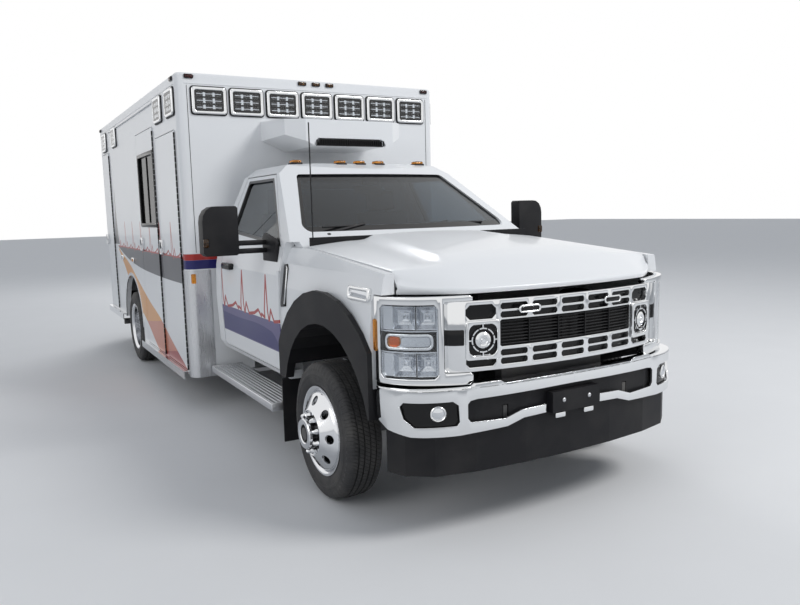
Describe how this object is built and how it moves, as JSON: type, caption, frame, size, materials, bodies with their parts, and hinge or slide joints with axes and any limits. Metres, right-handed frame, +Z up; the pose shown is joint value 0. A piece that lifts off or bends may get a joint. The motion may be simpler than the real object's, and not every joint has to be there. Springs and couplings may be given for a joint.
{
  "type": "ambulance",
  "caption": "Box-body ambulance truck with a hollow patient module, opening doors, hood and compartments, turning and steered wheels.",
  "frame": {"origin": "middle of the footprint at ground level", "axes": "+X to the vehicle's left, +Y to its rear, +Z up"},
  "size_m": [2.84, 7.823, 2.8],
  "materials": {
    "white_paint": "gloss",
    "chrome": "polished",
    "black_plastic": "matte",
    "frame_black": "satin",
    "cast_metal": "matte",
    "tyre": "matte",
    "aluminium": "brushed",
    "polished_rim": "polished",
    "tinted_glass": "polished",
    "clear_lens": "polished",
    "interior_panel": "matte",
    "seat_vinyl": "satin"
  },
  "bodies": {
    "chassis": {"bumper_valance": "black_plastic", "cab_glass": "tinted_glass", "cab_shell": "white_paint", "condenser": "white_paint", "cowl": "black_plastic", "dashboard": "interior_panel", "fenders": "white_paint", "frame_rails": "frame_black", "front_axle": "cast_metal", "front_bumper": "chrome", "fuel_tank": "frame_black", "grille": "chrome", "grille_backing": "black_plastic", "headlamp_bezels": "chrome", "headlamp_lenses": "clear_lens", "marker_lamps": "clear_lens", "module_cabinets": "interior_panel", "module_curb_wall": "white_paint", "module_floor": "interior_panel", "module_front_wall": "white_paint", "module_rear_wall": "white_paint", "module_roof": "white_paint", "module_street_wall": "white_paint", "module_trim": "aluminium", "powertrain": "cast_metal", "rear_axle": "cast_metal", "rear_step": "aluminium", "running_boards": "aluminium", "seats": "seat_vinyl", "warning_bezels": "chrome", "warning_lenses": "clear_lens", "wheel_guards": "black_plastic"},
    "front_wheel_left": {"front_tyre_left": "tyre", "front_rim_left": "polished_rim"},
    "front_wheel_right": {"front_tyre_right": "tyre", "front_rim_right": "polished_rim"},
    "rear_wheels_left": {"rear_tyres_left": "tyre", "rear_rims_left": "polished_rim"},
    "rear_wheels_right": {"rear_tyres_right": "tyre", "rear_rims_right": "polished_rim"},
    "knuckle_left": {"knuckle_left": "cast_metal"},
    "knuckle_right": {"knuckle_right": "cast_metal"},
    "hood": {"hood": "white_paint"},
    "cab_door_left": {"cab_door_left": "white_paint", "door_glass_left": "tinted_glass", "mirror_left": "black_plastic"},
    "cab_door_right": {"cab_door_right": "white_paint", "door_glass_right": "tinted_glass", "mirror_right": "black_plastic"},
    "side_entry_door": {"side_entry_door": "white_paint", "side_entry_glass": "tinted_glass"},
    "curb_front_door": {"curb_front_door": "white_paint"},
    "curb_rear_door": {"curb_rear_door": "white_paint"},
    "street_front_door": {"street_front_door": "white_paint"},
    "street_mid_door": {"street_mid_door": "white_paint"},
    "street_rear_door": {"street_rear_door": "white_paint"},
    "rear_door_left": {"rear_door_left": "white_paint", "rear_glass_left": "tinted_glass"},
    "rear_door_right": {"rear_door_right": "white_paint", "rear_glass_right": "tinted_glass"}
  },
  "joints": [
    {"name": "steer_left", "type": "hinge", "parent": "chassis", "child": "knuckle_left", "pos_m": [0.79, -2.9265, 0.4], "axis": [0, 0, 1], "range_deg": [-35, 35]},
    {"name": "front_wheel_left_spin", "type": "hinge", "parent": "knuckle_left", "child": "front_wheel_left", "pos_m": [0.95, -2.9265, 0.4], "axis": [1, 0, 0], "continuous": true},
    {"name": "rear_wheels_left_spin", "type": "hinge", "parent": "chassis", "child": "rear_wheels_left", "pos_m": [0.94, 1.9835, 0.4], "axis": [1, 0, 0], "continuous": true},
    {"name": "steer_right", "type": "hinge", "parent": "chassis", "child": "knuckle_right", "pos_m": [-0.79, -2.9265, 0.4], "axis": [0, 0, 1], "range_deg": [-35, 35]},
    {"name": "front_wheel_right_spin", "type": "hinge", "parent": "knuckle_right", "child": "front_wheel_right", "pos_m": [-0.95, -2.9265, 0.4], "axis": [1, 0, 0], "continuous": true},
    {"name": "rear_wheels_right_spin", "type": "hinge", "parent": "chassis", "child": "rear_wheels_right", "pos_m": [-0.94, 1.9835, 0.4], "axis": [1, 0, 0], "continuous": true},
    {"name": "hood_hinge", "type": "hinge", "parent": "chassis", "child": "hood", "pos_m": [0, -2.4685, 1.486], "axis": [-1, 0, 0], "range_deg": [0, 50]},
    {"name": "cab_door_left_hinge", "type": "hinge", "parent": "chassis", "child": "cab_door_left", "pos_m": [1.01, -2.2265, 1], "axis": [0, 0, -1], "range_deg": [0, 70]},
    {"name": "cab_door_right_hinge", "type": "hinge", "parent": "chassis", "child": "cab_door_right", "pos_m": [-1.01, -2.2265, 1], "axis": [0, 0, 1], "range_deg": [0, 70]},
    {"name": "curb_front_door_hinge", "type": "hinge", "parent": "chassis", "child": "curb_front_door", "pos_m": [-1.2253, -0.5065, 1.3], "axis": [0, 0, 1], "range_deg": [0, 110]},
    {"name": "side_entry_door_hinge", "type": "hinge", "parent": "chassis", "child": "side_entry_door", "pos_m": [-1.2253, 0.3635, 1.3], "axis": [0, 0, 1], "range_deg": [0, 95]},
    {"name": "curb_rear_door_hinge", "type": "hinge", "parent": "chassis", "child": "curb_rear_door", "pos_m": [-1.2253, 3.0235, 1.3], "axis": [0, 0, 1], "range_deg": [0, 110]},
    {"name": "street_front_door_hinge", "type": "hinge", "parent": "chassis", "child": "street_front_door", "pos_m": [1.2253, -0.5065, 1.3], "axis": [0, 0, -1], "range_deg": [0, 110]},
    {"name": "street_mid_door_hinge", "type": "hinge", "parent": "chassis", "child": "street_mid_door", "pos_m": [1.2253, 0.3635, 1.3], "axis": [0, 0, -1], "range_deg": [0, 110]},
    {"name": "street_rear_door_hinge", "type": "hinge", "parent": "chassis", "child": "street_rear_door", "pos_m": [1.2253, 2.7135, 1.3], "axis": [0, 0, -1], "range_deg": [0, 110]},
    {"name": "rear_door_left_hinge", "type": "hinge", "parent": "chassis", "child": "rear_door_left", "pos_m": [0.76, 3.6878, 1.6], "axis": [0, 0, -1], "range_deg": [0, 150]},
    {"name": "rear_door_right_hinge", "type": "hinge", "parent": "chassis", "child": "rear_door_right", "pos_m": [-0.76, 3.6878, 1.6], "axis": [0, 0, 1], "range_deg": [0, 150]}
  ],
  "couplings": [
    {"joint": "steer_right", "follows": "steer_left", "ratio": 1}
  ]
}
